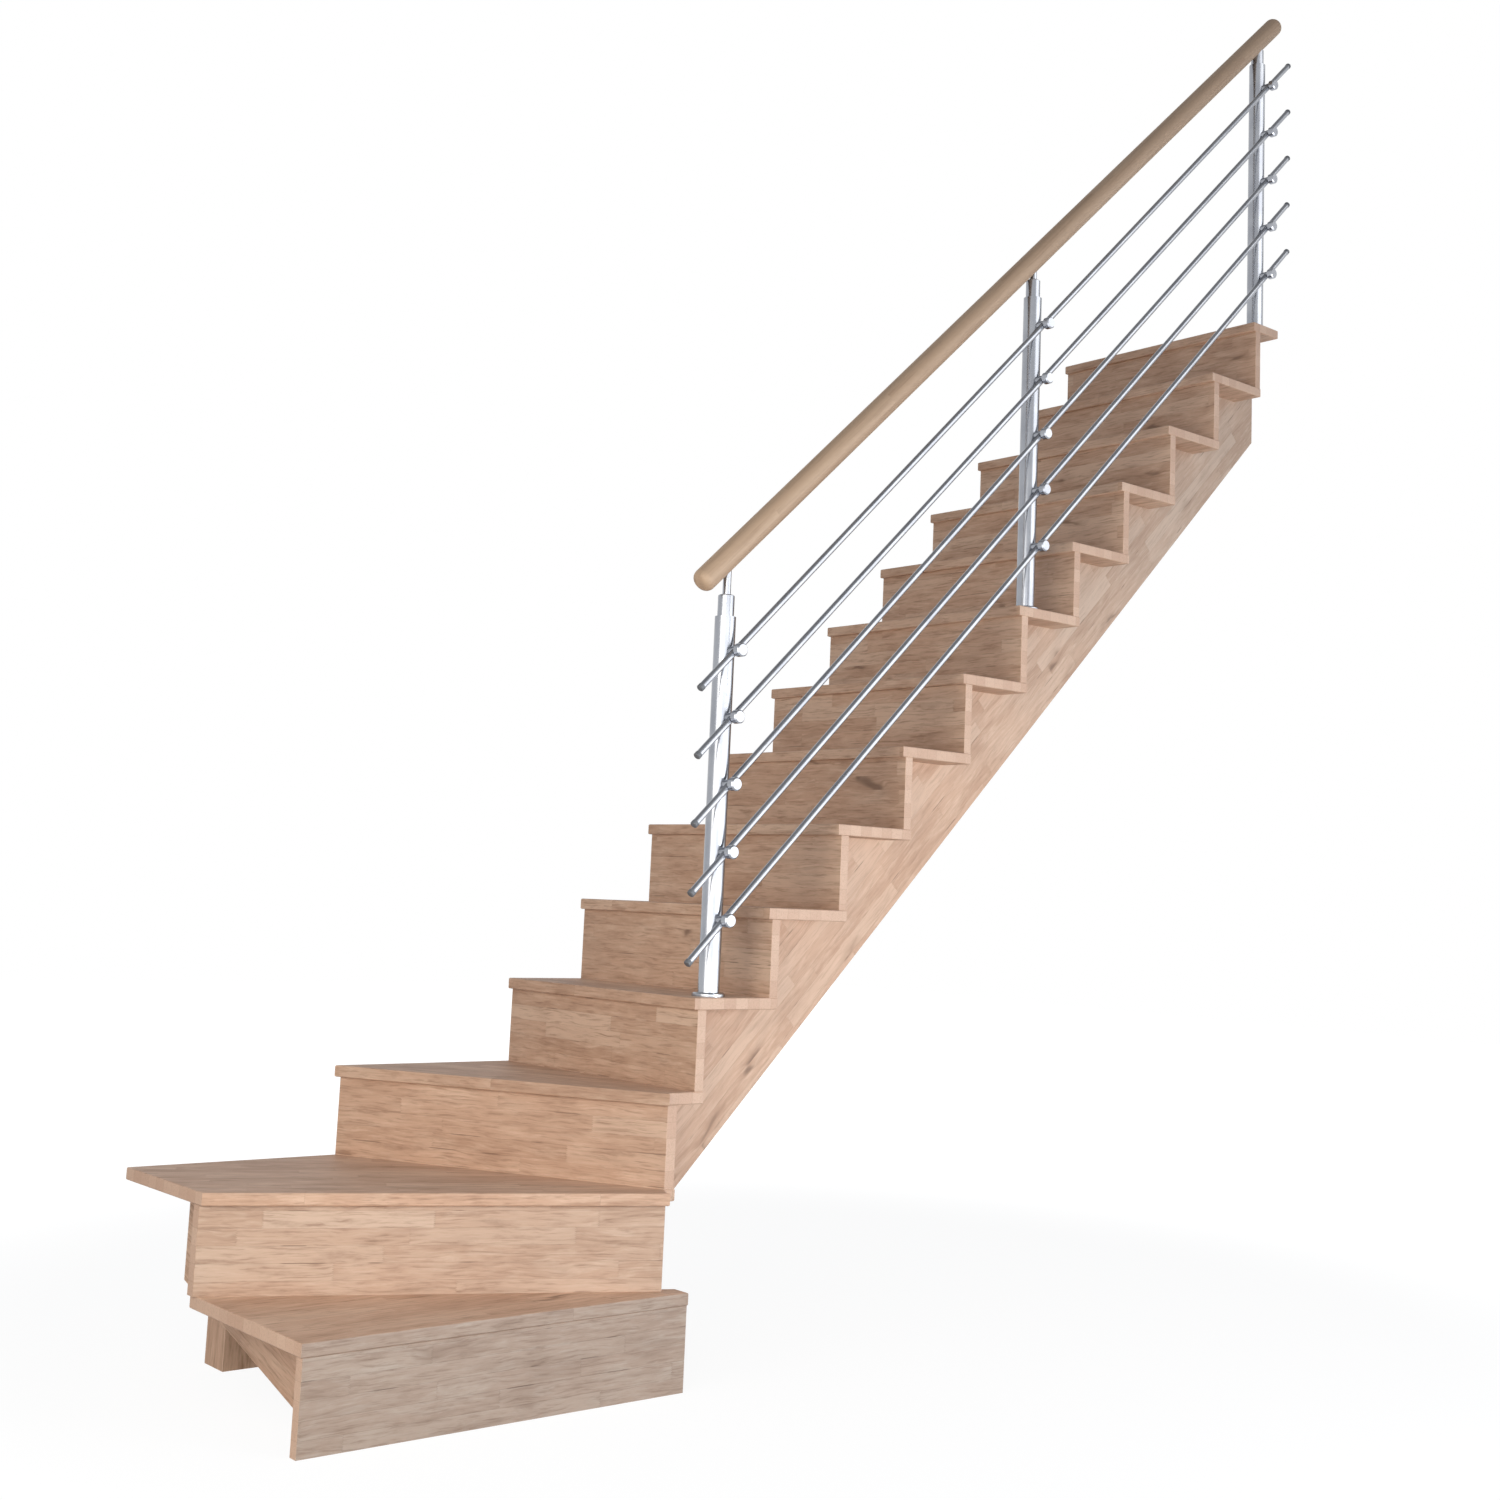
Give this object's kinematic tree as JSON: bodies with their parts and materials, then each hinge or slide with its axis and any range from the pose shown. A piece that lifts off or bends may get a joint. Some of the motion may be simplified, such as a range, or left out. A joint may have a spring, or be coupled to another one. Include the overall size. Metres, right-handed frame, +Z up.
{
  "type": "quarter-turn wooden staircase",
  "caption": "Closed-riser hardwood staircase turning right at the foot over winder treads, on notched strings, with a round handrail and sloping steel rods on the open side",
  "frame": {"origin": "on the floor, in the middle of the foot of the first riser", "axes": "+X up the straight flight, +Y the walking direction at the entry, +Z up"},
  "size_m": [3.1611, 0.801, 3.8287],
  "materials": {
    "tread_wood": "satin lacquer on finger-jointed strips",
    "riser_wood": "satin lacquer on finger-jointed strips",
    "string_wood": "satin lacquer on finger-jointed strips",
    "rail_wood": "satin lacquer",
    "steel": "brushed stainless",
    "cap_plastic": "matt black"
  },
  "bodies": {
    "root": {"tread_01": "tread_wood", "tread_02": "tread_wood", "tread_03": "tread_wood", "tread_04": "tread_wood", "tread_05": "tread_wood", "tread_06": "tread_wood", "tread_07": "tread_wood", "tread_08": "tread_wood", "tread_09": "tread_wood", "tread_10": "tread_wood", "tread_11": "tread_wood", "tread_12": "tread_wood", "tread_13": "tread_wood", "tread_14": "tread_wood", "riser_01": "riser_wood", "riser_02": "riser_wood", "riser_03": "riser_wood", "riser_04": "riser_wood", "riser_05": "riser_wood", "riser_06": "riser_wood", "riser_07": "riser_wood", "riser_08": "riser_wood", "riser_09": "riser_wood", "riser_10": "riser_wood", "riser_11": "riser_wood", "riser_12": "riser_wood", "riser_13": "riser_wood", "riser_14": "riser_wood", "outer_string": "string_wood", "wall_string": "string_wood", "entry_string": "string_wood", "corner_leg": "string_wood", "handrail": "rail_wood", "posts": "steel", "post_flanges": "steel", "post_sleeves": "steel", "rail_pins": "steel", "rod_holders": "steel", "rod_1": "steel", "rod_2": "steel", "rod_3": "steel", "rod_4": "steel", "rod_5": "steel", "rod_end_caps": "cap_plastic"}
  },
  "joints": []
}
